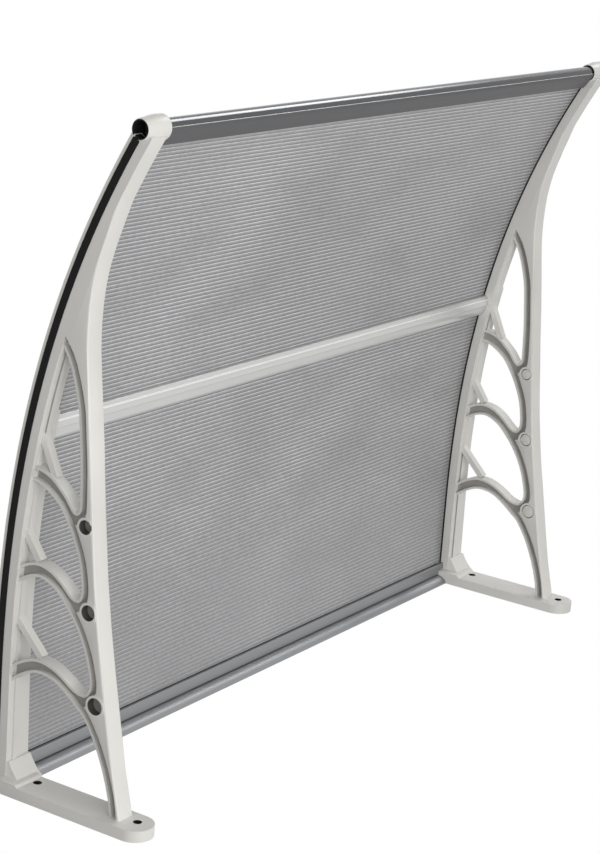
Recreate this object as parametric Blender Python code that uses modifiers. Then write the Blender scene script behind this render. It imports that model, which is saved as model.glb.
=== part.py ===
"""Door canopy: a curved twin-wall sheet held by two moulded plastic brackets.

Metres, +Z up. The wall is the plane y = 0 and the canopy reaches out along -Y. The origin is the centre of
the rear profile's back. A section of the canopy is drawn in (reach, height): reach is the distance from the
wall, which is -y, and height is z.
"""

from math import cos, pi, radians, sin

import bpy
import bmesh
import numpy as np

# Overall layout
PITCH = 0.960            # between the middle planes of the two brackets
BODY = 0.012             # half the width of a bracket's body
WEB = 0.0028             # half the thickness of the web in its middle plane
RIM_DEPTH = 0.008        # half the width of the raised rims
TIE_DEPTH = 0.005        # half the width of the straight ties
FRONT_ROUND = 0.0020     # rounding along the strut's front
FIT = 0.0003             # gap between pieces that touch
PAST = 0.004             # how far a cutter runs past what it cuts

# Roof line: straight near the wall, then bending down more and more
ROOF_HEIGHT = 0.0093     # sheet centre at the wall
ROOF_FLAT = 0.116        # reach over which it stays level
TUBE_REACH = 0.7494      # centre of the front tube
ROOF_BEND = 0.09629      # the tube's drop that grows with the square of the reach past the level part
ROOF_CURL = 0.06124      # its drop that grows with the cube
TUBE_DROP = ROOF_BEND + ROOF_CURL

# Sheet
SHEET = 0.0050           # thickness
SHEET_SKIN = 0.0005      # outer walls
SHEET_RIB = 0.0005       # walls between the flutes
FLUTE = 0.0062           # pitch of the flutes
SHEET_REAR = 0.0210      # reach of its rear edge
SHEET_FRONT = 0.0143     # from its front edge to the tube's centre

# Bracket section at the rafter, measured from the sheet's centre line
SLOT = 0.0035            # half the slot's height
RAIN_RIM = 0.0050        # thickness of the rim above the slot
BAND_FULL = 0.0115       # full-width part below the slot
BAND_WEB = 0.0137        # lower edge of the web below the slot
BAND_HALF = 0.0032       # half the thickness of the web's lower edge
WEB_END = 0.640          # reach at which the web's lower edge ends
ROOT = 0.0080            # reach at which the bracket's parts start, inside the plate
WING = 0.0260            # the rafter's right side at the wall
WING_TAPER = 0.022       # how much narrower it gets with each metre, as far as WING_END
WING_END = 0.4500
STEP = 0.0004            # small step between faces that would otherwise be flush

# Ribs
RIM = 0.0015             # half the thickness of a raised rim
CHANNEL = 0.0108         # from a rim's centre to the flush face beyond its channel
TIE = 0.0038             # half the thickness of a tie
REACH_OUT = 0.060        # how far a rim's ends are drawn on past the rafter

# Wall plate
PLATE = 0.0130           # thickness
PLATE_HALF = 0.0215      # half its width, and the radius of its lower end
PLATE_ASIDE = -0.0025    # its middle from the bracket's middle plane
PLATE_TOP = ROOF_HEIGHT + SLOT + RAIN_RIM
PLATE_LOW = -0.2005
PAD = 0.0160             # thickness of the raised pad at the plate's top
PAD_LOW = -0.0280
WALL_HOLE = 0.0050       # radius of the screw holes
WALL_HOLES = ((0.0040, -0.0385), (0.0010, -0.1800))

# Socket at the front end
SOCKET_BORE = 0.0090
SOCKET_SMALL = 0.0112    # outer radius at the open ring
SOCKET_LARGE = 0.0136    # outer radius of the long end
SOCKET_LEFT = -0.0150    # the ring stands a little proud of the body
SOCKET_NECK = 0.0060
SOCKET_RIGHT = 0.0200

# Profiles
TUBE = SOCKET_BORE - FIT
TUBE_BORE = 0.0064
LIP = 0.0022             # thickness of the upper lip that grips the sheet
LOWER_LIP = 0.0070       # from the sheet's centre to the lower lip's flat face
BAR_REACH = 0.4135       # centre of the middle bar
BAR_HALF = 0.0145
BAR_HEIGHT = 0.0090
BAR_RIDGES = (-0.0090, -0.0025)
REAR_TOP = 0.0160        # the rear profile's back, from here down to REAR_LOW
REAR_LOW = -0.0118
REAR_LIP = 0.0282        # reach of its lower lip's front

# The ribs are drawn in shares: 0 to 1 is from the wall to the front tube's centre, and from the height of the
# sheet at the wall down to the tube's. The strut's front edge, from the plate to the socket: (reach, drop)
STRUT_EDGE = [(0.01068, 1.11598), (0.08407, 1.03028), (0.15479, 0.96363), (0.22151, 0.90332),
              (0.28823, 0.84936), (0.35495, 0.80302), (0.42167, 0.76684), (0.48839, 0.73700),
              (0.55511, 0.71288), (0.62183, 0.68114), (0.66186, 0.65892), (0.70189, 0.64623),
              (0.74860, 0.65257), (0.78863, 0.67797), (0.82599, 0.72558), (0.87670, 0.81127),
              (0.91140, 0.87475), (0.94476, 0.94141), (0.97011, 0.99537), (0.98479, 1.03663)]

# Centre line of the rim round each opening, from the opening's front end at the rafter, down beside the strut,
# round the bend and back along the rib to the rafter
RIMS = {
    "long": [(0.69656, 0.38913), (0.67120, 0.47800), (0.64452, 0.53196), (0.61783, 0.57005),
             (0.59514, 0.59227), (0.55511, 0.61131), (0.51775, 0.62718), (0.46837, 0.63670),
             (0.45503, 0.63036), (0.44903, 0.59862), (0.45370, 0.56053), (0.46704, 0.51292),
             (0.47905, 0.45261), (0.49173, 0.37644), (0.49933, 0.27804), (0.49973, 0.17647),
             (0.49773, 0.10982)],
    "upper": [(0.48439, 0.10982), (0.48439, 0.17330), (0.48105, 0.27169), (0.47171, 0.36374),
              (0.45770, 0.45261), (0.44035, 0.51609), (0.42301, 0.56688), (0.40566, 0.60814),
              (0.38164, 0.65257), (0.34961, 0.68114), (0.33093, 0.67797), (0.32226, 0.64623),
              (0.32559, 0.58275), (0.34027, 0.50340), (0.35295, 0.41452), (0.35895, 0.31930),
              (0.35762, 0.23995), (0.35095, 0.16378), (0.33760, 0.07173), (0.32960, 0.03999)],
    "lower": [(0.30825, 0.03999), (0.31959, 0.08760), (0.33360, 0.17330), (0.34161, 0.26852),
              (0.34161, 0.34470), (0.33427, 0.42722), (0.32493, 0.49070), (0.30291, 0.58909),
              (0.28156, 0.66210), (0.25887, 0.71923), (0.23752, 0.75732), (0.21084, 0.78906),
              (0.19482, 0.78271), (0.18415, 0.73510), (0.18748, 0.64305), (0.19616, 0.57322),
              (0.20683, 0.48435), (0.21284, 0.39548), (0.21417, 0.30661), (0.20883, 0.22091),
              (0.19816, 0.12569), (0.18748, 0.05904), (0.18148, 0.02730)],
    "foot": [(0.15879, 0.02730), (0.16613, 0.06221), (0.18014, 0.14156), (0.19149, 0.23361),
             (0.19749, 0.31930), (0.19682, 0.41452), (0.19082, 0.50340), (0.17681, 0.60496),
             (0.16413, 0.68114), (0.15346, 0.74462), (0.12410, 0.83984), (0.08407, 0.92871),
             (0.04404, 0.98902), (0.01468, 1.01124)],
}

# Ties from the rafter to the crown of each rib: (reach, drop) at both ends
TIES = [((0.55311, 0.24948), (0.49106, 0.38596)),
        ((0.40366, 0.13521), (0.36162, 0.27804)),
        ((0.26755, 0.09395), (0.21751, 0.32883))]

# Round bosses beside the strut: centre (reach, drop) and radius of the recess
BOSSES = [((0.43662, 0.70145), 0.0080),
          ((0.31305, 0.75986), 0.0088),
          ((0.17774, 0.85381), 0.0096)]
BOSS_WALL = 0.0026
BOSS_PROUD = 0.0008

# Fillet in the corner between the rafter and the plate
WEDGE = [(0.008, 0.002), (0.034, 0.002), (0.0335, -0.0095), (0.0280, -0.0125), (0.0210, -0.0175),
         (0.0150, -0.0235), (0.0130, -0.0270), (0.008, -0.0270)]


def roof(reach, lift=0.0):
    """Point on the sheet's centre line at a reach, moved by lift along the upward normal."""
    span = TUBE_REACH - ROOF_FLAT
    past = max(reach - ROOF_FLAT, 0.0) / span
    height = ROOF_HEIGHT - ROOF_BEND * past ** 2 - ROOF_CURL * past ** 3
    slope = -(2 * ROOF_BEND * past + 3 * ROOF_CURL * past ** 2) / span
    length = (1 + slope ** 2) ** 0.5
    return np.array((reach - slope / length * lift, height + lift / length))


def roof_frame(reach):
    """Point on the centre line with the unit vectors back to the wall and up along the normal."""
    point = roof(reach)
    up = roof(reach, 1.0) - point
    return point, np.array((-up[1], up[0])), up


def drawn(points):
    """Points of the ribs' drawing, given in shares of the tube's reach and drop, as (reach, height)."""
    return [(reach * TUBE_REACH, ROOF_HEIGHT - drop * TUBE_DROP) for reach, drop in points]


def place_in(points, centre, back, up):
    """Points given along the sheet and along its normal, moved to the section's plane."""
    return [tuple(centre + back * along + up * lift) for along, lift in points]


def roof_path(start, end, lift, count):
    """Line that follows the roof at a fixed distance from the sheet's centre."""
    return [tuple(roof(r, lift)) for r in np.linspace(start, end, count)]


def smooth(points, pieces):
    """Catmull-Rom curve through the points, each span split into the given number of pieces."""
    pts = np.array(points)
    pts = np.vstack((2 * pts[0] - pts[1], pts, 2 * pts[-1] - pts[-2]))
    out = []
    for a, b, c, d in zip(pts[:-3], pts[1:-2], pts[2:-1], pts[3:]):
        for t in np.arange(pieces) / pieces:
            out.append(0.5 * (2 * b + (c - a) * t + (2 * a - 5 * b + 4 * c - d) * t ** 2
                              + (3 * b - a - 3 * c + d) * t ** 3))
    out.append(pts[-2])
    return np.array(out)


def offset(path, distance):
    """Path moved sideways, to the right of its direction for a positive distance."""
    run = np.gradient(path, axis=0)
    run /= np.linalg.norm(run, axis=1)[:, None]
    return path + distance * np.column_stack((run[:, 1], -run[:, 0]))


def new_object(name, mesh, collection):
    obj = bpy.data.objects.new(name, mesh)
    collection.objects.link(obj)
    return obj


def baked(obj):
    """The object's evaluated mesh, on its own."""
    bpy.context.view_layer.update()
    return bpy.data.meshes.new_from_object(obj.evaluated_get(bpy.context.evaluated_depsgraph_get()))


def extruded(name, loops, half, turn, move, collection):
    """Solid drawn flat as an outline with holes, half its thickness to each side, then turned and moved."""
    curve = bpy.data.curves.new(name, "CURVE")
    curve.dimensions = "2D"
    curve.fill_mode = "BOTH"
    curve.extrude = half
    for loop in loops:
        spline = curve.splines.new("POLY")
        spline.points.add(len(loop) - 1)
        for point, (across, height) in zip(spline.points, loop):
            point.co = (across, height, 0, 1)
        spline.use_cyclic_u = True
    drawn = new_object(name, curve, collection)
    drawn.rotation_euler = turn
    drawn.location = move
    mesh = baked(drawn)
    mesh.transform(drawn.matrix_world)
    bpy.data.objects.remove(drawn)
    edit = bmesh.new()
    edit.from_mesh(mesh)
    bmesh.ops.remove_doubles(edit, verts=edit.verts, dist=0.000005)
    bmesh.ops.recalc_face_normals(edit, faces=edit.faces)
    edit.to_mesh(mesh)
    edit.free()
    return new_object(name, mesh, collection)


def section(name, loops, left, right, collection):
    """Solid with the outline and holes drawn in (reach, height), from x = left to x = right."""
    middle = (left + right) / 2
    obj = extruded(name, loops, (right - left) / 2, (pi / 2, 0, -pi / 2), (middle, 0, 0), collection)
    for vert in obj.data.vertices:
        vert.co.x = left if vert.co.x < middle else right
    return obj


def combine(obj, others, operation):
    """Joins or cuts obj with other solids in one operation; they are then removed."""
    tools = bpy.data.collections.new("tools")
    for other in others:
        tools.objects.link(other)
    boolean = obj.modifiers.new(operation.lower(), "BOOLEAN")
    boolean.operation = operation
    boolean.solver = "EXACT"
    boolean.operand_type = "COLLECTION"
    boolean.collection = tools
    mesh = baked(obj)
    obj.modifiers.remove(boolean)
    edit = bmesh.new()
    edit.from_mesh(mesh)
    bmesh.ops.remove_doubles(edit, verts=edit.verts, dist=0.000005)
    bmesh.ops.dissolve_degenerate(edit, edges=edit.edges, dist=0.000005)
    bmesh.ops.dissolve_limit(edit, angle_limit=radians(0.1), verts=edit.verts, edges=edit.edges)
    bmesh.ops.triangulate(edit, faces=edit.faces)
    edit.to_mesh(mesh)
    edit.free()
    obj.data = mesh
    for other in others:
        bpy.data.objects.remove(other)
    bpy.data.collections.remove(tools)


def boss_outline(centre, radius):
    """Circle kept behind the rounded front of the strut."""
    reach, height = np.array(drawn(STRUT_EDGE)).T
    turn = np.radians(np.arange(6, 366, 12))
    points = [(centre[0] + radius * cos(a), centre[1] + radius * sin(a)) for a in turn]
    return [(r, max(z, np.interp(r, reach, height) + FRONT_ROUND)) for r, z in points]


def cylinder(name, radius, left, right, centre, sides, collection):
    """Cylinder along X at a (reach, height) centre."""
    mesh = bpy.data.meshes.new(name)
    edit = bmesh.new()
    bmesh.ops.create_cone(edit, cap_ends=True, segments=sides, radius1=radius, radius2=radius,
                          depth=right - left)
    edit.to_mesh(mesh)
    edit.free()
    obj = new_object(name, mesh, collection)
    obj.rotation_euler = (0, pi / 2, 0)
    obj.location = ((left + right) / 2, -centre[0], centre[1])
    return obj


def socket(collection):
    """Turned socket barrel: a profile in (radius, x) spun about the tube's axis."""
    profile = [(SOCKET_BORE, SOCKET_LEFT), (SOCKET_SMALL - 0.0008, SOCKET_LEFT),
               (SOCKET_SMALL, SOCKET_LEFT + 0.0008), (SOCKET_LARGE, SOCKET_NECK),
               (SOCKET_LARGE, SOCKET_RIGHT - 0.0012), (SOCKET_LARGE - 0.0012, SOCKET_RIGHT),
               (SOCKET_BORE, SOCKET_RIGHT)]
    mesh = bpy.data.meshes.new("socket")
    edges = [(i, (i + 1) % len(profile)) for i in range(len(profile))]
    mesh.from_pydata([(radius, 0, along) for radius, along in profile], edges, [])
    obj = new_object("socket", mesh, collection)
    screw = obj.modifiers.new("turn", "SCREW")
    screw.axis = "Z"
    screw.steps = screw.render_steps = 32
    screw.use_merge_vertices = True
    screw.merge_threshold = 0.00001
    screw.use_normal_calculate = True
    obj.data = baked(obj)
    obj.modifiers.clear()
    edit = bmesh.new()
    edit.from_mesh(obj.data)
    bmesh.ops.recalc_face_normals(edit, faces=edit.faces)
    edit.to_mesh(obj.data)
    edit.free()
    centre = roof(TUBE_REACH)
    obj.rotation_euler = (0, pi / 2, 0)
    obj.location = (0, -centre[0], centre[1])
    return obj


def plate_outline():
    """Wall plate seen from the front, in (x, z): square top with small corners, round lower end."""
    low = PLATE_LOW + PLATE_HALF
    points = [(PLATE_HALF * cos(a), low + PLATE_HALF * sin(a)) for a in np.radians(np.linspace(180, 360, 17))]
    corner = 0.002
    points += [(PLATE_HALF, PLATE_TOP - corner), (PLATE_HALF - corner, PLATE_TOP),
               (corner - PLATE_HALF, PLATE_TOP), (-PLATE_HALF, PLATE_TOP - corner)]
    return [(PLATE_ASIDE + x, z) for x, z in points]


def plate(collection):
    """Wall plate: the outline with its two screw holes, as thick as the plate."""
    turn = np.radians(np.arange(0, 360, 20))
    loops = [plate_outline()]
    loops += [[(x + WALL_HOLE * cos(a), z + WALL_HOLE * sin(a)) for a in turn] for x, z in WALL_HOLES]
    return extruded("plate", loops, PLATE / 2, (pi / 2, 0, 0), (0, -PLATE / 2, 0), collection)


def wing_side(reach):
    """The rafter's right side at a reach."""
    return WING - WING_TAPER * reach


def wing(collection):
    """Part of the rafter that is wider on its right, its right side tapering with the reach."""
    outline = roof_path(ROOT, WING_END, SLOT + RAIN_RIM - STEP, 24)
    outline += roof_path(WING_END - BODY, ROOT, STEP - SLOT - BAND_FULL, 24)
    obj = section("wing", [outline], BODY - 0.001, WING, collection)
    for vert in obj.data.vertices:
        if vert.co.x > BODY:
            vert.co.x = wing_side(-vert.co.y)
    return obj


def opening(path, distance):
    """Closed outline of an opening: its rim's path moved sideways, its ends drawn on past the rafter."""
    side = offset(path, distance)
    ends = []
    for end, inner in ((side[0], side[1]), (side[-1], side[-2])):
        run = end - inner
        ends.append(end + run / np.linalg.norm(run) * REACH_OUT)
    loop = [ends[0], *side, ends[1]]
    if ends[1][0] < PLATE:
        loop.append(np.array((ends[1][0], REACH_OUT)))
    return [tuple(p) for p in loop]


def round_front(body, count):
    """Rounds the long edges of the strut's front, which follow the first points of the body's outline."""
    edit = bmesh.new()
    edit.from_mesh(body.data)
    bmesh.ops.dissolve_limit(edit, angle_limit=radians(0.1), verts=edit.verts, edges=edit.edges)
    edit.to_mesh(body.data)
    front = smooth(drawn(STRUT_EDGE), 2)[:count]
    weight = body.data.attributes.new("bevel_weight_edge", "FLOAT", "EDGE")
    for edge in body.data.edges:
        ends = [body.data.vertices[i].co for i in edge.vertices]
        along = abs(ends[0].x - ends[1].x) < 0.001
        gaps = [np.hypot(front[:, 0] + c.y, front[:, 1] - c.z).min() for c in ends]
        weight.data[edge.index].value = along and max(gaps) < 0.00002
    edit.free()
    bevel = body.modifiers.new("round", "BEVEL")
    bevel.limit_method = "WEIGHT"
    bevel.width = FRONT_ROUND
    bevel.segments = 3
    mesh = baked(body)
    body.modifiers.remove(bevel)
    body.data = mesh


def bracket_mesh(collection):
    """One bracket about its middle plane x = 0."""
    centre = roof(TUBE_REACH)
    edge = [tuple(p) for p in smooth(drawn(STRUT_EDGE), 2)]
    outline = edge + roof_path(TUBE_REACH, ROOT, -SLOT - 0.0040, 34)
    body = section("bracket", [outline], -BODY, BODY, collection)
    round_front(body, len(edge))
    paths = [smooth(drawn(points), 2) for points in RIMS.values()]

    # Channels, sunk from both sides down to the web, then the raised rims and the openings inside them
    sides = ((WEB, BODY + PAST), (-BODY - PAST, -WEB))
    channels = [section("channel", [opening(path, -CHANNEL)], *side, collection)
                for path in paths for side in sides]
    combine(body, channels, "DIFFERENCE")
    rims = [section("rim", [opening(path, -RIM)], -RIM_DEPTH, RIM_DEPTH, collection) for path in paths]
    combine(body, rims, "UNION")
    far = TUBE_REACH + REACH_OUT
    above = [(ROOT, 2 * PLATE_LOW)] + roof_path(ROOT, far, -SLOT - 0.0020, 50)
    above += [(far, REACH_OUT), (-REACH_OUT, REACH_OUT), (-REACH_OUT, 2 * PLATE_LOW)]
    reach = BODY + PAST
    holes = [section("opening", [opening(path, RIM)], -reach, reach, collection) for path in paths]
    combine(body, holes + [section("above", [above], -reach, reach, collection)], "DIFFERENCE")

    # Ties, the web below the sheet, the full-width rafter round the slot, and the wall end and socket
    parts = []
    for tie in TIES:
        start, end = np.array(drawn(tie))
        run = end - start
        side = np.array((run[1], -run[0])) / np.linalg.norm(run) * TIE
        corners = [start + side, end + side, end - side, start - side]
        parts.append(section("tie", [corners], -TIE_DEPTH, TIE_DEPTH, collection))
    web = roof_path(ROOT + STEP, WEB_END, -SLOT - 0.0012, 30)
    web += roof_path(WEB_END, ROOT + STEP, -SLOT - BAND_WEB, 30)
    parts.append(section("web", [web], -BAND_HALF, BAND_HALF, collection))
    rafter = roof_path(ROOT, TUBE_REACH, SLOT + RAIN_RIM, 36)
    rafter += roof_path(TUBE_REACH, ROOT, -SLOT - BAND_FULL, 36)
    parts.append(section("rafter", [rafter], -BODY, BODY, collection))
    parts.append(section("wedge", [WEDGE], -BODY + 0.0005, wing_side(0.034) - 0.0005, collection))
    pad = [(ROOT, PLATE_TOP - 0.0010), (PAD - 0.0010, PLATE_TOP - 0.0010), (PAD, PLATE_TOP - 0.0020),
           (PAD, PAD_LOW), (PAD - 0.0008, PAD_LOW - 0.0018), (PLATE - 0.0010, PAD_LOW - 0.0050),
           (ROOT, PAD_LOW - 0.0050)]
    side = PLATE_HALF - 0.0004
    parts.append(section("pad", [pad], PLATE_ASIDE - side, PLATE_ASIDE + side, collection))
    wall = BODY + BOSS_PROUD
    bosses = [(drawn([centre])[0], radius) for centre, radius in BOSSES]
    for point, radius in bosses:
        parts.append(section("boss", [boss_outline(point, radius + BOSS_WALL)], -wall, wall, collection))
    combine(body, parts + [wing(collection), plate(collection), socket(collection)], "UNION")

    # Sheet slots and blind recesses in the bosses, from both sides, and the bore of the socket
    slot = roof_path(PAD + 0.001, TUBE_REACH, SLOT, 40) + roof_path(TUBE_REACH, PAD + 0.001, -SLOT, 40)
    cuts = [section("slot", [slot], WEB, WING + PAST, collection),
            section("slot", [slot], SOCKET_LEFT - PAST, -WEB, collection),
            cylinder("bore", SOCKET_BORE, SOCKET_LEFT - PAST, SOCKET_RIGHT + PAST, centre, 32, collection)]
    cuts += [cylinder("recess", radius, *side, point, 28, collection)
             for point, radius in bosses for side in sides]
    combine(body, cuts, "DIFFERENCE")

    mesh = body.data
    bpy.data.objects.remove(body)
    return mesh


def sheet_mesh(collection):
    """Twin-wall sheet: two skins joined by ribs, its flutes running along X from end to end."""
    front = TUBE_REACH + SHEET_FRONT * roof_frame(TUBE_REACH)[1][0]
    reaches = np.linspace(SHEET_REAR, front, 4000)
    line = np.array([roof(r) for r in reaches])
    length = np.concatenate(([0], np.cumsum(np.linalg.norm(np.diff(line, axis=0), axis=1))))
    cells = int(round(length[-1] / FLUTE))

    def at(distance, lift):
        return tuple(roof(np.interp(distance, length, reaches), lift))

    marks = np.linspace(0, length[-1], cells + 1)
    outer = [at(m, SHEET / 2) for m in marks] + [at(m, -SHEET / 2) for m in marks[::-1]]
    inside = SHEET / 2 - SHEET_SKIN
    loops = [outer]
    for a, b in zip(marks[:-1] + SHEET_RIB / 2, marks[1:] - SHEET_RIB / 2):
        a = max(a, SHEET_RIB)
        b = min(b, length[-1] - SHEET_RIB)
        loops.append([at(a, inside), at(b, inside), at(b, -inside), at(a, -inside)])
    half = PITCH / 2 - WEB - 0.001
    obj = section("sheet", loops, -half, half, collection)
    mesh = obj.data
    bpy.data.objects.remove(obj)
    return mesh


def front_profile_mesh(collection):
    """Round tube, a neck and two lips over the sheet's front edge."""
    back, up = roof_frame(TUBE_REACH - 0.006)[1:]
    centre = roof(TUBE_REACH)
    inner = SHEET / 2 + FIT
    outer = inner + LIP
    top_angle = np.arcsin(outer / TUBE)
    low_angle = pi + np.arccos(0.0058 / TUBE)
    shape = [(TUBE * cos(a), TUBE * sin(a)) for a in np.linspace(low_angle, top_angle, 24)]
    shape += [(0.0215, outer), (0.0220, outer - 0.0005), (0.0220, inner), (SHEET_FRONT - FIT, inner),
              (SHEET_FRONT - FIT, -inner), (0.0188, -inner), (0.0188, 0.0005 - LOWER_LIP),
              (0.0183, -LOWER_LIP), (-0.0056, -LOWER_LIP)]
    bore = [(TUBE_BORE * cos(a), TUBE_BORE * sin(a)) for a in np.radians(np.arange(0, 360, 15))]
    reach_in = PITCH / 2 - WEB
    obj = section("front_profile", [place_in(shape, centre, back, up), place_in(bore, centre, back, up)],
                  -reach_in, reach_in, collection)

    # Past the brackets' inner faces only the tube runs on, into the sockets
    room = [(TUBE + FIT / 2, -0.02), (0.04, -0.02), (0.04, 0.02), (TUBE + FIT / 2, 0.02)]
    inner_face = PITCH / 2 - BODY - FIT
    ends = ((inner_face, PITCH / 2 + PAST), (-PITCH / 2 - PAST, -inner_face))
    cuts = [section("end", [place_in(room, centre, back, up)], *end, collection) for end in ends]
    # Room for the long barrel at the left end and for the ring at the right end
    rings = ((SOCKET_LARGE, -PITCH / 2 - 2 * PAST, -PITCH / 2 + SOCKET_RIGHT + FIT),
             (SOCKET_SMALL + 0.0010, PITCH / 2 + SOCKET_LEFT - FIT, PITCH / 2 + 2 * PAST))
    for radius, left, right in rings:
        ring = cylinder("ring", radius + FIT, left, right, centre, 32, collection)
        core = cylinder("core", TUBE + FIT / 2, left - PAST, right + PAST, centre, 32, collection)
        combine(ring, [core], "DIFFERENCE")
        cuts.append(ring)
    combine(obj, cuts, "DIFFERENCE")
    mesh = obj.data
    bpy.data.objects.remove(obj)
    return mesh


def rear_profile_mesh(collection):
    """Flat back on the wall, two lips over the sheet's rear edge, a groove and a rounded lower flange."""
    inner = SHEET / 2 + FIT
    low = 0.0020
    ends = np.array(((0.0098, 0.0006), (0.0085, -0.0085), (0.0020, REAR_LOW)))
    flare = [(1 - t) ** 2 * ends[0] + 2 * t * (1 - t) * ends[1] + t ** 2 * ends[2]
             for t in np.linspace(0, 1, 9)]
    outline = [(0, REAR_TOP), (0.0295, REAR_TOP), (0.0300, REAR_TOP - 0.0005), (0.0300, ROOF_HEIGHT + inner),
               (SHEET_REAR - FIT, ROOF_HEIGHT + inner), (SHEET_REAR - FIT, ROOF_HEIGHT - inner),
               (REAR_LIP, ROOF_HEIGHT - inner), (REAR_LIP, low + 0.0005), (REAR_LIP - 0.0005, low),
               (0.0241, low), (0.0239, low + 0.0010), (0.0229, low + 0.0010), (0.0226, low - 0.0004),
               (0.0112, low - 0.0010), (0.0109, low + 0.0004), (0.0101, low + 0.0004)]
    outline += [tuple(p) for p in flare] + [(0, REAR_LOW)]
    lower = [(0.0020, 0.0048), (0.0192, 0.0048), (0.0192, 0.0036), (0.0090, 0.0034), (0.0072, -0.0028),
             (0.0046, -0.0088), (0.0020, -0.0106)]
    upper = [(0.0020, 0.0142), (0.0020, 0.0066), (0.0192, 0.0066), (0.0192, 0.0142)]
    left = WING + FIT - PITCH / 2
    right = PITCH / 2 - BODY - FIT
    obj = section("rear_profile", [outline, lower, upper], left, right, collection)
    # Notch for the right bracket's plate, which is wider than its body
    notch = [(-PAST, -0.03), (PAD + FIT, -0.03), (PAD + FIT, 0.03), (-PAST, 0.03)]
    inner_edge = PITCH / 2 + PLATE_ASIDE - PLATE_HALF - FIT
    combine(obj, [section("notch", [notch], inner_edge, PITCH / 2, collection)], "DIFFERENCE")
    mesh = obj.data
    bpy.data.objects.remove(obj)
    return mesh


def bar_depth(across):
    """Depth of the bar's lower surface at a place across it: a low arch with two ridges."""
    arch = 0.0030 + (BAR_HEIGHT - 0.0030) * max(1 - (across / BAR_HALF) ** 2, 0) ** 0.6
    near = [abs(across - r) for r in BAR_RIDGES]
    ridge = max(max(0.0010 - abs(d - 0.0004), 0) if d < 0.0014 else 0 for d in near)
    return arch + ridge


def middle_bar_mesh(collection):
    """Low arched bar with two ridges, hollow along its length, against the underside of the sheet."""
    centre, back, up = roof_frame(BAR_REACH)
    top = -SHEET / 2 - 2 * FIT
    marks = set(np.round(BAR_HALF * np.cos(np.linspace(0, pi, 17)), 5))
    for ridge in BAR_RIDGES:
        marks -= {m for m in marks if abs(m - ridge) < 0.0018}
        marks |= {ridge + d for d in (-0.0014, -0.0004, 0.0004, 0.0014)}
    marks = sorted(marks, reverse=True)
    shape = [(-BAR_HALF, top), (BAR_HALF, top)] + [(m, top - bar_depth(m)) for m in marks]
    inner = BAR_HALF - 0.0016
    hollow = [(-inner, top - 0.0016), (inner, top - 0.0016)]
    hollow += [(m, top - 0.0024 - 0.0048 * (1 - (m / inner) ** 2) ** 0.6)
               for m in np.linspace(inner, -inner, 13)[1:-1]]
    loops = [place_in(shape, centre, back, up), place_in(hollow, centre, back, up)]
    left = wing_side(BAR_REACH - BAR_HALF) + FIT - PITCH / 2
    obj = section("middle_bar", loops, left, PITCH / 2 - BODY - FIT, collection)
    mesh = obj.data
    bpy.data.objects.remove(obj)
    return mesh


def material(name, colour, roughness, metallic=0.0, alpha=1.0):
    mat = bpy.data.materials.new(name)
    mat.use_nodes = True
    shader = mat.node_tree.nodes["Principled BSDF"]
    shader.inputs["Base Color"].default_value = (*colour, 1)
    shader.inputs["Roughness"].default_value = roughness
    shader.inputs["Metallic"].default_value = metallic
    shader.inputs["Alpha"].default_value = alpha
    return mat


def place(name, mesh, mat, x, collection):
    """One finished piece, with its material, in the object's collection."""
    mesh.materials.clear()
    mesh.materials.append(mat)
    obj = new_object(name, mesh, collection)
    obj.location.x = x
    mesh.shade_smooth()
    mesh.set_sharp_from_angle(angle=radians(30))
    return obj


def main():
    for obj in list(bpy.data.objects):
        bpy.data.objects.remove(obj)
    canopy = bpy.data.collections.new("door_canopy")
    work = bpy.data.collections.new("cutters")
    bpy.context.scene.collection.children.link(canopy)
    bpy.context.scene.collection.children.link(work)

    plastic = material("bracket_plastic", (0.66, 0.65, 0.61), 0.42)
    clear = material("twin_wall_grey", (0.36, 0.36, 0.37), 0.25, alpha=0.6)
    dark = material("dark_anodised", (0.12, 0.12, 0.13), 0.35, metallic=0.9)
    silver = material("light_aluminium", (0.60, 0.60, 0.60), 0.35, metallic=0.9)

    bracket = bracket_mesh(work)
    place("left_bracket", bracket, plastic, -PITCH / 2, canopy)
    place("right_bracket", bracket, plastic, PITCH / 2, canopy)
    place("polycarbonate_sheet", sheet_mesh(work), clear, 0, canopy)
    place("front_profile", front_profile_mesh(work), dark, 0, canopy)
    place("rear_profile", rear_profile_mesh(work), dark, 0, canopy)
    place("middle_bar", middle_bar_mesh(work), silver, 0, canopy)


main()
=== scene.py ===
# %% [markdown]
# A door canopy, rebuilt in Blender
#
# The real thing is a curved sheet of grey twin-wall plastic. It slides into the slots of two openwork
# brackets of light grey plastic, a metal profile grips its front and its rear edge, and a low metal bar
# crosses it under the middle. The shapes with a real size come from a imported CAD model, which is loaded here
# as a fixed frame. This script adds what a drawing lacks: rounded edges, seals, the lines that the flutes
# draw on the sheet, and the finishes.

# %% Load the CAD frame
from math import radians

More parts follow.
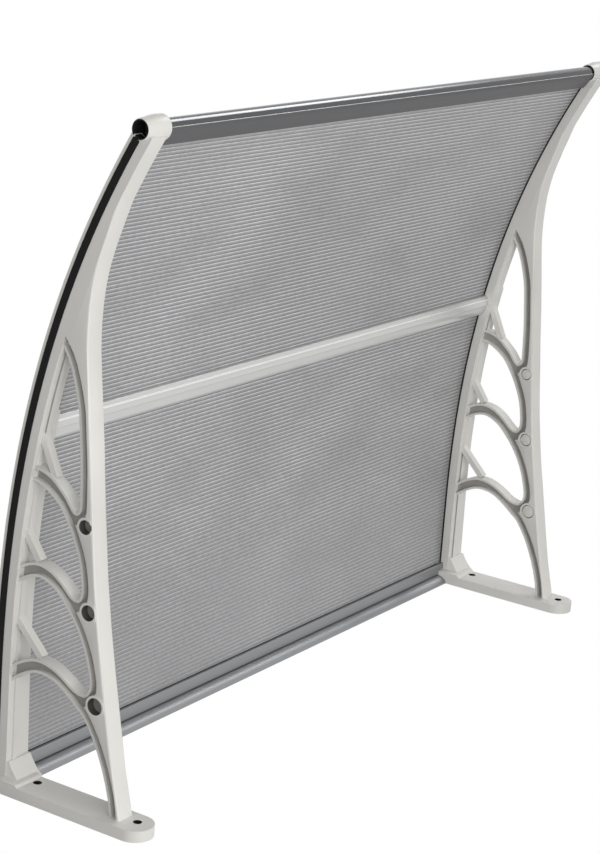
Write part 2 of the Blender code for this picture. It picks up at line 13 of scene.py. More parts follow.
import bmesh
import bpy
import numpy as np
from mathutils import Euler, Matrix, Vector


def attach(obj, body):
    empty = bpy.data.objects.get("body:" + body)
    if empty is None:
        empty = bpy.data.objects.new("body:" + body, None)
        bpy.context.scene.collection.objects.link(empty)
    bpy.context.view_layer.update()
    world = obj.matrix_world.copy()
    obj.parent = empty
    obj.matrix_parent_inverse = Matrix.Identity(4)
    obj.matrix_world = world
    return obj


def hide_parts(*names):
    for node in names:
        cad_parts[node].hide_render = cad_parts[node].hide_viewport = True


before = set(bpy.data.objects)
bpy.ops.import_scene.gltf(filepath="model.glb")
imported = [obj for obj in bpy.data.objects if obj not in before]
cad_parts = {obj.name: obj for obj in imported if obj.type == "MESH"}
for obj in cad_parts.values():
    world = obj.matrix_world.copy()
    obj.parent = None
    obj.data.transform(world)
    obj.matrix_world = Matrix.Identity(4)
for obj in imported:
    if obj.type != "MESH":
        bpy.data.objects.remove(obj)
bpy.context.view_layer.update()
print("CAD nodes:", sorted(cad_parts))

# %% [markdown]
# The roof line
#
# Every long piece follows one curve, seen from the side: the middle of the sheet. It is level near the wall
# and then bends down more and more. A few points joined by a spline would do, but a formula gives the point,
# the slope and the normal at any reach. A square and a cube of the reach past the level part make the same
# curve that the brackets' slots were cut along, so whatever is built on it fits them.

# %% Roof line
ROOF_HEIGHT = 0.0093
ROOF_FLAT = 0.116
TUBE_REACH = 0.7494
ROOF_BEND = 0.09629
ROOF_CURL = 0.06124
SHEET_REAR = 0.0210
SHEET_FRONT = TUBE_REACH - 0.0120


def roof(reach, lift=0.0):
    """Points (reach, height) on the sheet's middle line, moved by lift along its normal.

    Height is ROOF_HEIGHT minus ROOF_BEND times w squared minus ROOF_CURL times w cubed, where w runs from 0
    at ROOF_FLAT to 1 at the front tube. The normal is (1, slope) turned by a quarter and made one long.
    """
    reach = np.asarray(reach, float)
    span = TUBE_REACH - ROOF_FLAT
    w = np.maximum(reach - ROOF_FLAT, 0) / span
    height = ROOF_HEIGHT - ROOF_BEND * w ** 2 - ROOF_CURL * w ** 3
    slope = -(2 * ROOF_BEND * w + 3 * ROOF_CURL * w ** 2) / span
    length = np.sqrt(1 + slope ** 2)
    return np.stack((reach - slope / length * lift, height + lift / length), -1)


def roof_frame(reach):
    """A point on the line, with the unit vectors back to the wall and up along the normal."""
    point = roof(reach)
    up = roof(reach, 1.0) - point
    return point, np.array((-up[1], up[0])), up


reaches = np.linspace(SHEET_REAR, SHEET_FRONT, 3000)
strides = np.linalg.norm(np.diff(roof(reaches), axis=0), axis=1)
travel = np.concatenate(([0], np.cumsum(strides)))
print(f"the sheet is {travel[-1] * 1000:.1f} mm long measured along its curve")

# %% [markdown]
# Surfaces from grids
#
# A surface with two directions is a grid of points. Blender wants the points and, for each face, the numbers
# of its corners. When the points lie in an array of rows and columns, those numbers follow from the row and
# the column, so one expression makes all the faces at once. A shape that closes on itself wraps from its
# last column back to the first. Two kinds of grid are enough here: an outline carried along X, and rings
# about an axis along X.

# %% Grid helpers
def grid_faces(rows, columns, wrap_rows=False, wrap_columns=False):
    """Corner numbers of all quads between neighbouring rows and columns of a grid."""
    row_numbers = np.arange(rows - (not wrap_rows))
    column_numbers = np.arange(columns - (not wrap_columns))
    i, j = np.meshgrid(row_numbers, column_numbers, indexing="ij")
    down, right = (i + 1) % rows, (j + 1) % columns
    corners = (i * columns + j, down * columns + j, down * columns + right, i * columns + right)
    return np.stack(corners, -1).reshape(-1, 4)


def outline_rows(x, outline):
    """Grid whose point (i, j) lies at x_i along X and at the outline's point j, which is (reach, height)."""
    points = np.empty((len(x), len(outline), 3))
    points[..., 0] = np.asarray(x)[:, None]
    points[..., 1] = -outline[:, 0]
    points[..., 2] = outline[:, 1]
    return points


def ring_rows(x, radius, reach, height, around):
    """Grid whose point (i, a) lies at x_i along X and at radius_i times (cos a, sin a) from the axis."""
    angle = np.linspace(0, 2 * np.pi, around, endpoint=False)
    points = np.empty((len(x), around, 3))
    points[..., 0] = x[:, None]
    points[..., 1] = -reach + radius[:, None] * np.cos(angle)
    points[..., 2] = height + radius[:, None] * np.sin(angle)
    return points


print("a grid of 3 by 4 points has", len(grid_faces(3, 4)), "faces")

# %% [markdown]
# From points to a piece
#
# A mesh made from numbers has no sense of inside and outside yet. Its faces are turned outwards here, and
# shaded smooth where neighbours meet at a small angle, so that a rounding looks round and an edge stays an
# edge. Every new piece goes through this one function.

# %% Piece helper
def add_piece(name, points, faces, smooth_below=35, uv=None):
    """Object at the origin from points and faces, its faces turned outwards and smooth below an angle.

    uv gives each point its two numbers, and each face corner takes those of its point.
    """
    mesh = bpy.data.meshes.new(name)
    places = np.asarray(points).reshape(-1, 3)
    mesh.from_pydata(places.tolist(), [], [list(map(int, face)) for face in faces])
    edit = bmesh.new()
    edit.from_mesh(mesh)
    bmesh.ops.recalc_face_normals(edit, faces=edit.faces)
    edit.to_mesh(mesh)
    edit.free()
    if uv is not None:
        corner = np.empty(len(mesh.loops), int)
        mesh.loops.foreach_get("vertex_index", corner)
        layer = mesh.uv_layers.new(name="along")
        layer.data.foreach_set("uv", np.asarray(uv).reshape(-1, 2)[corner].astype(np.float32).ravel())
    mesh.shade_smooth()
    mesh.set_sharp_from_angle(angle=radians(smooth_below))
    obj = bpy.data.objects.new(name, mesh)
    bpy.context.scene.collection.objects.link(obj)
    print(f"{name}: {len(mesh.vertices)} points, {len(mesh.polygons)} faces")
    return obj


# %% [markdown]
# Finishes
#
# A finish is a small network of nodes: a noise or a stripe varies the colour, the roughness and the fine
# relief of a Principled shader. A picture of the surface could do this too, but a network has no seams and
# stays sharp close up. Numbers that are the same all over the surface sit on the shader itself.

# %% Material helpers
def node_maker(tree):
    """Function that adds a node to the tree, changes its settings, and links or sets its inputs.

    An input is named by its words with underscores between them, or by an underscore and its number.
    """
    def node(kind, settings=None, **inputs):
        made = tree.nodes.new(kind)
        for key, value in (settings or {}).items():
            setattr(made, key, value)
        for key, value in inputs.items():
            socket = made.inputs[int(key[1:]) if key[0] == "_" else key.replace("_", " ")]
            if isinstance(value, bpy.types.NodeSocket):
                tree.links.new(value, socket)
            else:
                socket.default_value = value
        return made

    return node


def new_material(name, colour, roughness, **sockets):
    """Material, its Principled shader, a function that adds nodes to it, and one that links two sockets."""
    mat = bpy.data.materials.new(name)
    mat.use_nodes = True
    tree = mat.node_tree
    shader = tree.nodes["Principled BSDF"]
    shader.inputs["Base Color"].default_value = (*colour, 1)
    shader.inputs["Roughness"].default_value = roughness
    for socket, value in sockets.items():
        shader.inputs[socket.replace("_", " ")].default_value = value
    print("finish:", name)
    return mat, shader, node_maker(tree), tree.links.new


# %% [markdown]
# Patterns
#
# A few nodes come back in every finish, so each gets a short name. The noises read Object coordinates, which
# are metres on the finished piece, so a size in them is a real size, and a pattern runs on from one face to
# the next without a seam.

# %% Pattern helpers
def maths(node, operation, *values):
    """Result of one operation on one, two or three values."""
    inputs = {f"_{number}": value for number, value in enumerate(values)}
    return node("ShaderNodeMath", {"operation": operation}, **inputs).outputs[0]


def object_noise(node, size, scale=(1, 1, 1), detail=3.0):
    """Noise from 0 to 1 with features of about size metres, drawn out along an axis with a small scale."""
    place = node("ShaderNodeTexCoord").outputs["Object"]
    scaled = node("ShaderNodeMapping", Vector=place, Scale=scale).outputs[0]
    return node("ShaderNodeTexNoise", Vector=scaled, Scale=1 / size, Detail=detail).outputs[0]


def spread(node, value, low, high, start=0.3, end=0.7):
    """Value mapped from start..end to low..high, held at the ends."""
    return node("ShaderNodeMapRange", Value=value, From_Min=start, From_Max=end, To_Min=low,
                To_Max=high).outputs[0]


def tinted(node, value, dark, light):
    """Colour between dark and light."""
    mix = node("ShaderNodeMix", {"data_type": "RGBA"}, Factor=value, _6=(*dark, 1), _7=(*light, 1))
    return mix.outputs[2]


def relief(node, height, distance, strength=1.0):
    """Bump from a height that runs from 0 to 1 over a distance in metres."""
    return node("ShaderNodeBump", Height=height, Distance=distance, Strength=strength).outputs[0]


# %% [markdown]
# Moulded plastic
#
# The brackets are injection moulded, in a warm light grey plastic with a satin surface. It has a very fine
# grain from the mould, and broad, faint differences in tone where the melt cooled at different speeds. One
# even grey would look like paint, so a wide noise moves the tone and a fine one the roughness and relief.

# %% Bracket plastic
plastic, shader, node, link = new_material("bracket_plastic", (0.66, 0.65, 0.615), 0.38)
cloud = spread(node, object_noise(node, 0.09, detail=2), 0, 1)
link(tinted(node, cloud, (0.635, 0.625, 0.59), (0.685, 0.675, 0.64)), shader.inputs["Base Color"])
grain = object_noise(node, 0.0012, detail=2)
link(spread(node, grain, 0.34, 0.44), shader.inputs["Roughness"])
link(relief(node, grain, 0.00003, 0.5), shader.inputs["Normal"])

# %% [markdown]
# Channel floors and open bosses
# The floors of the brackets' channels have a coarser grain, which makes them more matt, and a darker tone that
# is painted shade. The round bosses are open on the outer side, and even less light comes back out of them, so
# their insides get a very dark tone of painted shade. Each dark tone stands for the many small shadows on the
# real object, and it looks so from any side.

# %% Grained plastic
def grained(name, dark, light):
    """Matt plastic with a coarse grain, its colour between two tones."""
    mat, shader, node, link = new_material(name, light, 0.55)
    cloud = spread(node, object_noise(node, 0.03, detail=2), 0, 1)
    link(tinted(node, cloud, dark, light), shader.inputs["Base Color"])
    grain = object_noise(node, 0.0006, detail=2)
    link(spread(node, grain, 0.48, 0.62), shader.inputs["Roughness"])
    link(relief(node, grain, 0.00005, 0.6), shader.inputs["Normal"])
    return mat


# Painted shade: the channel floors' darker tone and the open bosses' nearly black one.
recess_shade = grained("recess_plastic_shade", (0.29, 0.28, 0.26), (0.35, 0.34, 0.315))
boss_shade = grained("deep_recess_shade", (0.055, 0.053, 0.048), (0.085, 0.082, 0.075))

# %% [markdown]
# Dark and light metal
#
# The profiles are extruded aluminium: the front tube anodised nearly black, the rear profile grey, and the bar
# left light. A painted highlight runs along one of the bar's ridges. Extrusion and brushing leave fine lines
# along their length. Single scratches could be drawn, but a noise that is stretched hundreds of times along X
# gives all of them at once.

# %% Metal
def drawn_metal(name, dark, light, roughness, lines=0.0005, low_relief=0.3):
    """Metal with lines along X: a stretched noise varies the tone, the roughness and a very low relief."""
    mat, shader, node, link = new_material(name, light, roughness, Metallic=0.85)
    streak = object_noise(node, lines, scale=(0.002, 1, 1), detail=2)
    link(tinted(node, spread(node, streak, 0, 1), dark, light), shader.inputs["Base Color"])
    link(spread(node, streak, roughness - 0.03, roughness + 0.04), shader.inputs["Roughness"])
    if low_relief:
        link(relief(node, streak, 0.00001, low_relief), shader.inputs["Normal"])
    return mat


dark_metal = drawn_metal("dark_anodised", (0.105, 0.107, 0.112), (0.120, 0.122, 0.128), 0.16)
rear_metal = drawn_metal("grey_anodised", (0.305, 0.31, 0.32), (0.335, 0.34, 0.35), 0.42, 0.001, 0.1)
bar_and_edge_highlight_metal = drawn_metal("light_aluminium", (0.66, 0.66, 0.65), (0.69, 0.69, 0.68), 0.34, 0.0015, 0)
# Painted highlight: the brightest metal, for the crest of the bar's first ridge.
highlight_metal = drawn_metal("painted_highlight_aluminium", (0.90, 0.90, 0.89), (0.94, 0.94, 0.93), 0.28, 0.0015, 0)

# %% [markdown]
# Matt coat
#
# The broad lip of the front profile isn't polished as the tube is. It looks coated, dark grey and matt. A
# coat hides the metal, so this finish isn't metallic, and only faint lines of the extrusion show through.

# %% Dark coat
dark_coat, shader, node, link = new_material("dark_coat", (0.072, 0.073, 0.077), 0.5)
streak = object_noise(node, 0.0008, scale=(0.004, 1, 1), detail=2)
coat_tone = tinted(node, spread(node, streak, 0, 1), (0.066, 0.067, 0.070), (0.078, 0.079, 0.083))
link(coat_tone, shader.inputs["Base Color"])
link(spread(node, streak, 0.45, 0.55), shader.inputs["Roughness"])
link(relief(node, streak, 0.00001, 0.3), shader.inputs["Normal"])

# %% [markdown]
# Rubber
#
# The strips in the outer slots are soft black rubber: matt, with a faint unevenness of a few millimetres.
# The same finish paints shade on the insides of holes, which stay black from any side.

# %% Rubber
rubber_and_hole_shade, shader, node, link = new_material("black_rubber_and_hole_shade", (0.008, 0.008, 0.008), 0.75,
                                          Specular_IOR_Level=0.15)
patch = object_noise(node, 0.004)
link(tinted(node, patch, (0.005, 0.005, 0.005), (0.011, 0.011, 0.011)), shader.inputs["Base Color"])
link(spread(node, patch, 0.65, 0.85), shader.inputs["Roughness"])
link(relief(node, patch, 0.0001, 0.4), shader.inputs["Normal"])

# %% [markdown]
# Lines on the twin-wall sheet
#
# The sheet has two thin skins with a wall between them every few millimetres. From outside the walls show as
# fine lines: a light one where a wall meets the skin, and then painted shade that goes from dark to light on
# the way to the next one. Modelling each wall behind a clear skin would take long to render and show little
# more, so the lines are worked out in the finish. The piece's own UV map holds X and the distance along the
# curve in metres. That distance divided by the width of a flute counts the flutes. Its fraction runs from 0 to
# 1 between two walls, and its ping-pong is 0 at each wall. The lines stand out more towards the front.

# %% Lines on the sheet
FLUTE = 0.0052
sheet_mat, shader, node, link = new_material("twin_wall_grey", (0.30, 0.30, 0.31), 0.38, Alpha=0.88)
uv = node("ShaderNodeUVMap", {"uv_map": "along"}).outputs[0]
across, along = node("ShaderNodeSeparateXYZ", Vector=uv).outputs[:2]
flutes = maths(node, "DIVIDE", along, FLUTE)
ridge = spread(node, maths(node, "PINGPONG", flutes, 0.5), 1, 0, 0.04, 0.15)
contrast = spread(node, along, 0.6, 1.7, 0.10, 0.42)
# Painted shade in each flute: dark just behind one wall, light before the next.
shade = spread(node, maths(node, "FRACT", flutes), -0.5, 0.5, 0.10, 0.80)
shade = maths(node, "MULTIPLY_ADD", shade, contrast, 0.5)
tone = tinted(node, shade, (0.210, 0.210, 0.215), (0.370, 0.370, 0.375))
fading = spread(node, object_noise(node, 0.07, scale=(0.5, 1, 1)), 0.35, 1.0)
line = maths(node, "MULTIPLY", ridge, maths(node, "MULTIPLY", fading, contrast))
lined = node("ShaderNodeMix", {"data_type": "RGBA"}, Factor=line, _6=tone, _7=(0.74, 0.74, 0.75, 1))
print(f"the sheet's lines are {FLUTE * 1000:.1f} mm apart")

# %% [markdown]
# Tone of the sheet
#
# The real sheet isn't one grey. It has broad faint patches and a fine unevenness. Painted light makes it a
# little paler near the wall, painted shade makes it darker towards the brackets, and a thin line of painted
# shadow lies where it enters them. Painting this by hand would tie it to one picture. Here each effect is a
# factor, 1 where it changes nothing, and the colour is scaled by their product.

# %% Tone of the sheet
SLOT_MOUTH = 0.465
patches = spread(node, object_noise(node, 0.22, scale=(1, 0.8, 1), detail=1), 0.93, 1.07)
unevenness = spread(node, object_noise(node, 0.0035, scale=(0.6, 1, 1)), 0.88, 1.12)
aside = maths(node, "ABSOLUTE", across)
# Painted shade: the colour falls to 72 % over the last 19 mm before the brackets' slots.
painted_bracket_shade = spread(node, aside, 1, 0.72, SLOT_MOUTH - 0.019, SLOT_MOUTH + 0.0005)
shadow = spread(node, aside, 1, 0.06, SLOT_MOUTH - 0.0002, SLOT_MOUTH + 0.0002)
# Painted light: 8 % paler near the wall, falling to 4 % darker half a metre along.
painted_wall_light = spread(node, along, 1.08, 0.96, 0.05, 0.50)
level = patches
for factor in (unevenness, painted_bracket_shade, shadow, painted_wall_light):
    level = maths(node, "MULTIPLY", level, factor)
scaled = node("ShaderNodeVectorMath", {"operation": "SCALE"}, _0=lined.outputs[2], Scale=level)
link(scaled.outputs[0], shader.inputs["Base Color"])
link(relief(node, ridge, 0.0004, 0.6), shader.inputs["Normal"])
print(f"a line of shadow lies {SLOT_MOUTH * 1000:.0f} mm to each side of the middle")

# %% [markdown]
# Sheet
#
# The real sheet is flat and bends as it is pushed into the brackets' slots. Here its outline is carried
# across from bracket to bracket: forward on the lower skin and back on the upper one, with two points for
# each flute so that it bends smoothly. A single surface with a thickness modifier would look the same, but
# when the shell is made in one go, each of its points can be given its distance along the curve.

# %% Sheet
SHEET = 0.0050
SHEET_HALF_WIDTH = 0.4762


def sheet_piece(name, half_width, thickness):
    """Closed shell with X and the distance along the curve as its UV map.

    Point (x, s) lies at x along X and at the distance s along the roof line, half the thickness below that
    line on the way out, and above it on the way back.
    """
    cells = int(round(travel[-1] / FLUTE)) * 2
    s = np.linspace(0, travel[-1], cells + 1)
    reach = np.interp(s, travel, reaches)
    outline = np.vstack((roof(reach, -thickness / 2), roof(reach, thickness / 2)[::-1]))
    x = np.linspace(-half_width, half_width, 13)
    points = outline_rows(x, outline)
    uv = np.empty(points.shape[:2] + (2,))
    uv[..., 0] = x[:, None]
    uv[..., 1] = np.concatenate((s, s[::-1]))
    faces = grid_faces(len(x), len(outline), wrap_columns=True).tolist()
    n, last = len(s), (len(x) - 1) * len(outline)
    i = np.arange(n - 1)
    end = np.stack((i, i + 1, 2 * n - 2 - i, 2 * n - 1 - i), -1)
    faces += end.tolist() + (last + end).tolist()
    return add_piece(name, points, faces, 60, uv)


sheet = sheet_piece("twin_wall_sheet", SHEET_HALF_WIDTH, SHEET)

# %% [markdown]
# Front tube
#
# A round tube runs from socket to socket along the front edge. A plain cylinder would do for its outside,
# but it is hollow and its open end shows in the left socket. So rings are set along the outside, over one
# end, back along the bore and over the other end, and the last ring joins the first.

# %% Front tube
PITCH = 0.960
WEB = 0.0028
TUBE = 0.0087
TUBE_BORE = 0.0064
TUBE_EDGE = 0.0005
tube_centre = roof(TUBE_REACH)
tube_end = PITCH / 2 - WEB


def tube_piece(name, outer, inner, left, right, rim=TUBE_EDGE, around=48):
    """Hollow tube: rings about its axis, their radius outer or inner, with a rim between them at each end."""
    x = np.array((left + rim, right - rim, right, right, right - rim, left + rim, left, left))
    r = np.array((outer, outer, outer - rim, inner + rim, inner, inner, inner + rim, outer - rim))
    points = ring_rows(x, r, *tube_centre, around)
    return add_piece(name, points, grid_faces(len(x), around, wrap_rows=True, wrap_columns=True))


tube = tube_piece("front_tube", TUBE, TUBE_BORE, -tube_end, tube_end)

# %% [markdown]
# Profiles
#
# An extruded profile has the same outline all along its length. So the outline is drawn once, as corners
# that are then rounded a little, because no real edge is sharp, and it is placed at the left and at the
# right end. A curve with a bevel shape could do this too, but here every corner stays where it was put.

# %% Profile helpers
def rounded(corners, radius, steps=4):
    """Outline with each corner C turned into (1-t)^2 A + 2t(1-t) C + t^2 B for t from 0 to 1.

    A and B lie on the two sides that meet in C, radius away from it, or nearly half a side where that is
    shorter.
    """
    c = np.asarray(corners, float)
    sides = [np.roll(c, 1, 0) - c, np.roll(c, -1, 0) - c]
    lengths = [np.linalg.norm(s, axis=1, keepdims=True) for s in sides]
    keep = np.minimum(radius, 0.45 * np.minimum(*lengths))
    a, b = (c + s / n * keep for s, n in zip(sides, lengths))
    t = np.linspace(0, 1, steps + 1)[None, :, None]
    curve = (1 - t) ** 2 * a[:, None] + 2 * t * (1 - t) * c[:, None] + t ** 2 * b[:, None]
    return curve.reshape(-1, 2)


def carried(name, outline, left, right, smooth_below=35):
    """Profile: the outline's points (reach, height) at the left and at the right, with flat ends."""
    outline = np.asarray(outline)
    count = len(outline)
    faces = grid_faces(2, count, wrap_columns=True).tolist()
    faces += [list(range(count)), list(range(2 * count - 1, count - 1, -1))]
    return add_piece(name, outline_rows((left, right), outline), faces, smooth_below)


print("a rounded square has", len(rounded([(0, 0), (1, 0), (1, 1), (0, 1)], 0.1)), "points")

# %% [markdown]
# Front lips
#
# Between the brackets the front profile has two lips that grip the sheet's front edge. The lower one starts
# as a skin round the tube's lower front and runs on as a broad flat face. On the real object lips and tube
# are one extrusion. Two pieces are simpler here, because the lips end before the brackets and the tube
# doesn't. The outline is drawn in the sheet's own directions close behind the tube, along it and across it.

# %% Front lips
SKIN = 0.0006
SKIN_START = -124
SKIN_END = -83
LIP_GRIP = 0.0028
UPPER_LIP = 0.0050
LOWER_LIP = 0.0072
LIPS_LEFT = -0.4597
LIPS_RIGHT = 0.4646
LIPS_BEHIND_TUBE = 0.006
_, back, up = roof_frame(TUBE_REACH - LIPS_BEHIND_TUBE)


def placed(points):
    """Points given along the sheet and along its normal at the front, moved to (reach, height)."""
    points = np.asarray(points, float)
    return tube_centre + points[:, :1] * back + points[:, 1:] * up


def arc(radius, start, end, count):
    """Points on a circle about the tube's centre: radius times the cosine and the sine of each angle."""
    angle = np.radians(np.linspace(start, end, count))
    return np.stack((radius * np.cos(angle), radius * np.sin(angle)), -1)


lower_face = [(0.0188, -LOWER_LIP), (0.0188, -LIP_GRIP), (0.0140, -LIP_GRIP)]
upper_face = [(0.0140, LIP_GRIP), (0.0220, LIP_GRIP), (0.0220, UPPER_LIP), (0.0070, UPPER_LIP)]
lip_outline = np.vstack((arc(TUBE + SKIN, SKIN_START, SKIN_END, 12), lower_face, upper_face,
                         arc(TUBE - 2 * SKIN, 30, SKIN_START, 24)))
lips = carried("front_lips", placed(rounded(lip_outline, 0.0004)), LIPS_LEFT, LIPS_RIGHT)

# %% [markdown]
# Rear profile
#
# The rear profile lies on the wall and grips the sheet's rear edge. Its lower side, the one that people see,
# has a lip, a narrow groove and a flare that curves down to the wall. The flare is a quadratic curve between
# two corners and a control point, which is easier to fit than a circle. At the right the profile is cut away
# at the wall, and only the part that grips the sheet, its mouth, runs on into the bracket.

# %% Rear profile
REAR_TOP = 0.0160
REAR_BOTTOM = -0.0118
REAR_LIP = 0.0255
REAR_LIP_LOW = 0.0020
REAR_LEFT = -0.4537
REAR_RIGHT = 0.4557
REAR_END = 0.4677
mouth = [(0.0300, REAR_TOP), (0.0300, 0.0121), (0.0207, 0.0121), (0.0207, 0.0065),
         (REAR_LIP, 0.0065), (REAR_LIP, REAR_LIP_LOW), (0.0240, REAR_LIP_LOW - 0.0004)]
groove = [(0.0112, REAR_LIP_LOW - 0.0010), (0.0110, REAR_LIP_LOW + 0.0018), (0.0101, REAR_LIP_LOW + 0.0018)]
t = np.linspace(0, 1, 22)[:, None]
flare_top, pull, flare_foot = np.array([(0.0098, 0.0006), (0.0085, -0.0085), (0.0020, REAR_BOTTOM)])
flare = (1 - t) ** 2 * flare_top + 2 * t * (1 - t) * pull + t ** 2 * flare_foot
rear_corners = [(0, REAR_TOP)] + mouth + groove + flare.tolist() + [(0, REAR_BOTTOM)]
end_corners = [(0.0166, REAR_TOP)] + mouth + [(0.0166, REAR_LIP_LOW - 0.0007)]
rear = carried("rear_profile_body", rounded(rear_corners, 0.0003, 3), REAR_LEFT, REAR_RIGHT)
rear_end = carried("rear_profile_end", rounded(end_corners, 0.0003, 3), REAR_RIGHT, REAR_END)

# %% [markdown]
# Rear black strip
#
# A thin black line runs between the rear profile's lip and the sheet, most likely a gasket. A dark stripe in
# the metal's finish could stand for it, but a thin strip with the black rubber finish has an edge and a
# shadow of its own.

# %% Rear black strip
rear_strip_corners = np.array([(0, 0.0055), (0.0006, 0.0058), (0.0006, 0.0067), (0, 0.0067)]) + (REAR_LIP, 0)
rear_strip = carried("rear_black_strip", rounded(rear_strip_corners, 0.0002, 3), REAR_LEFT, REAR_RIGHT)

# %% [markdown]
# Middle bar
#
# The bar is a low arch with two ridges along it, and it keeps the sheet from sagging. It could be cut from a
# tube, but its section is flatter than a circle. So its depth is a power of one minus the square of the
# place across it, and each ridge adds a narrow bell curve.

# %% Middle bar
BAR_REACH = 0.4135
BAR_HALF = 0.0145
BAR_SIDE = 0.0030
BAR_RISE = 0.0060
BAR_RIDGES = (-0.0100, -0.0030)
RIDGE_RISE = 0.0011
RIDGE_WIDTH = 0.0013
BAR_GAP = 0.0006
BAR_LEFT = -0.4622
BAR_RIGHT = 0.4677
bar_place = BAR_HALF * np.cos(np.linspace(0, np.pi, 120))
arch = BAR_SIDE + BAR_RISE * np.maximum(1 - (bar_place / BAR_HALF) ** 2, 0) ** 0.6
ridges = sum(RIDGE_RISE * np.exp(-((bar_place - r) / RIDGE_WIDTH) ** 2) for r in BAR_RIDGES)
bar_middle, bar_back, bar_up = roof_frame(BAR_REACH)
bar_top = -SHEET / 2 - BAR_GAP
bar_section = np.vstack(([(-BAR_HALF, bar_top), (BAR_HALF, bar_top)],
                         np.stack((bar_place, bar_top - arch - ridges), -1)))
bar_outline = bar_middle + bar_section[:, :1] * bar_back + bar_section[:, 1:] * bar_up
bar = carried("cross_bar", bar_outline, BAR_LEFT, BAR_RIGHT, 50)

# %% [markdown]
# Slot seals
#
# Each bracket has a slot on both sides, so that canopies can be joined in a row. The outer slots hold no
# sheet, and a black rubber strip closes them. It could be cut out of the slot's own shape, but the sheet's
# outline along the roof line, made a little thinner than the slot, is the same thing. A thin lip laps over
# the slot's edges.

# %% Slot seals
BODY = 0.0120
SLOT = 0.0035
SEAL_REAR = 0.0180
SEAL_FRONT = TUBE_REACH - 0.0079
SEAL_PLAY = 0.0002
LAP_FRONT = TUBE_REACH - 0.0105
LAP = 0.0009
LAP_PROUD = 0.0006


def seal_piece(name, half, front, left, right):
    """Strip: the roof line's points lifted by half and by minus half, carried a few millimetres along X."""
    reach = np.linspace(SEAL_REAR, front, 90)
    outline = np.vstack((roof(reach, -half), roof(reach, half)[::-1]))
    return carried(name, outline, left, right)


seals = []
for side, name in ((-1, "left"), (1, "right")):
    face = side * (PITCH / 2 + BODY)
    foot = side * (PITCH / 2 + WEB + 0.0003)
    in_slot = sorted((face, foot))
    proud = sorted((face + side * 0.0001, face + side * LAP_PROUD))
    seals.append(seal_piece(f"{name}_slot_seal", SLOT - SEAL_PLAY, SEAL_FRONT, *in_slot))
    seals.append(seal_piece(f"{name}_seal_lip", SLOT + LAP, LAP_FRONT, *proud))

# %% [markdown]
# Brackets
#
# The brackets' openings, channels and rims were cut in CAD, where the size of each matters. A moulding has
# no sharp edges, though, and it is the light on its small roundings that makes it look real. Building the
# brackets again would only risk a misfit. So a copy of each CAD mesh is joined into flat faces, and a bevel
# rounds its edges.

# %% Brackets
EDGE_ROUNDING = 0.0006
SHARP_ABOVE = radians(35)


def moulded(name, node_name, width):
    """Copy of a CAD node with its triangles joined, flat areas made one face each, and its edges rounded."""
    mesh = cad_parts[node_name].data.copy()
    mesh.name = name
    edit = bmesh.new()
    edit.from_mesh(mesh)
    bmesh.ops.remove_doubles(edit, verts=edit.verts, dist=0.00001)
    bmesh.ops.dissolve_limit(edit, angle_limit=radians(1.0), verts=edit.verts, edges=edit.edges)
    edit.to_mesh(mesh)
    edit.free()
    obj = bpy.data.objects.new(name, mesh)
    bpy.context.scene.collection.objects.link(obj)
    bevel = obj.modifiers.new("edges", "BEVEL")
    bevel.width = width
    bevel.segments = 2
    bevel.limit_method = "ANGLE"
    bevel.angle_limit = SHARP_ABOVE
    mesh.shade_smooth()
    mesh.set_sharp_from_angle(angle=SHARP_ABOVE)
    print(f"{name}: {len(mesh.polygons)} faces before its edges are rounded")
    return obj


left = moulded("left_moulding", "left_bracket", EDGE_ROUNDING)
right = moulded("right_moulding", "right_bracket", EDGE_ROUNDING)

# %% [markdown]
# Measuring faces
#
# Some faces need a finish of their own, such as the inside of a hole. They could be picked by hand in the
# window, but a script has to find them by their place. The centre of a face inside a round hole is no further
# from the hole's axis than the hole's radius, and that distance is measured for all faces at once.

# %% Face helpers
def face_numbers(mesh, key):
    """Centres or normals of all faces as one array."""
    numbers = np.empty(len(mesh.polygons) * 3)
    mesh.polygons.foreach_get(key, numbers)
    return numbers.reshape(-1, 3)


def off_axis(mesh, reach, height):
    """Distance of each face's centre from an axis along X: the root of its two squared offsets' sum."""
    c = face_numbers(mesh, "center")
    return np.hypot(c[:, 1] + reach, c[:, 2] - height)


widest = off_axis(tube.data, *tube_centre).max()
print(f"the tube's outermost faces lie {widest * 1000:.1f} mm from its axis")

# %% [markdown]
# Insides and channel floors
#
# Almost no light comes back out of the front tube, the sockets and the screw holes, so their insides get
# painted shade in a matt black finish, and the open bosses the very dark painted shade. Lamps alone would
# leave them too pale from some sides. The floors of the channels are the faces that lie on the web and look
# along X. They get the coarse finish with its painted shade.

# %% Insides and floors
WALL_HOLE = 0.0050
WALL_HOLES = ((0.0040, -0.0385), (0.0010, -0.1800))
PLATE = 0.0130
SOCKET_BORE = 0.0090
BOSSES = ((0.43662, 0.70145, 0.0080), (0.31305, 0.75986, 0.0088), (0.17774, 0.85381, 0.0096))
BOSS_PLACES = [(reach * TUBE_REACH, ROOF_HEIGHT - drop * (ROOF_BEND + ROOF_CURL), radius)
               for reach, drop, radius in BOSSES]
SLACK = 0.0001
# BLACK, FLOOR and DEEP number the finishes of painted shade.
BLACK, FLOOR, DEEP = 1, 2, 3


